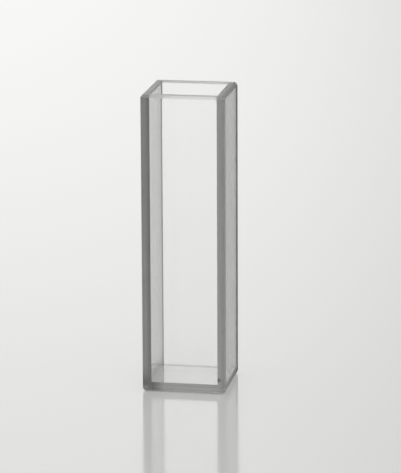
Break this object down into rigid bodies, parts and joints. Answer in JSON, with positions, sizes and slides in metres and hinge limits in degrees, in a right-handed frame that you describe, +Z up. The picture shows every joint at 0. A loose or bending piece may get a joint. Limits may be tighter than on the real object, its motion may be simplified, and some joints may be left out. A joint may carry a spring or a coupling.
{
  "type": "cuvette",
  "caption": "Tall square glass cell for a liquid sample, open at the top, with polished front and back windows, ground side walls and a ground base.",
  "frame": {"origin": "centre of the underside, on the surface that the cell stands on", "axes": "+Z up, along the height; the light path runs along Y, through the two windows; -Y is the front window's side; +X is the right side wall as seen from the front"},
  "size_m": [0.0126, 0.0126, 0.045],
  "materials": {
    "clear_glass": "optically polished, colourless",
    "ground_glass": "fine ground, neutral grey, with polished inside faces"
  },
  "bodies": {
    "root": {"front_window": "clear_glass", "back_window": "clear_glass", "left_wall": "ground_glass", "right_wall": "ground_glass", "base": "ground_glass"}
  },
  "joints": []
}
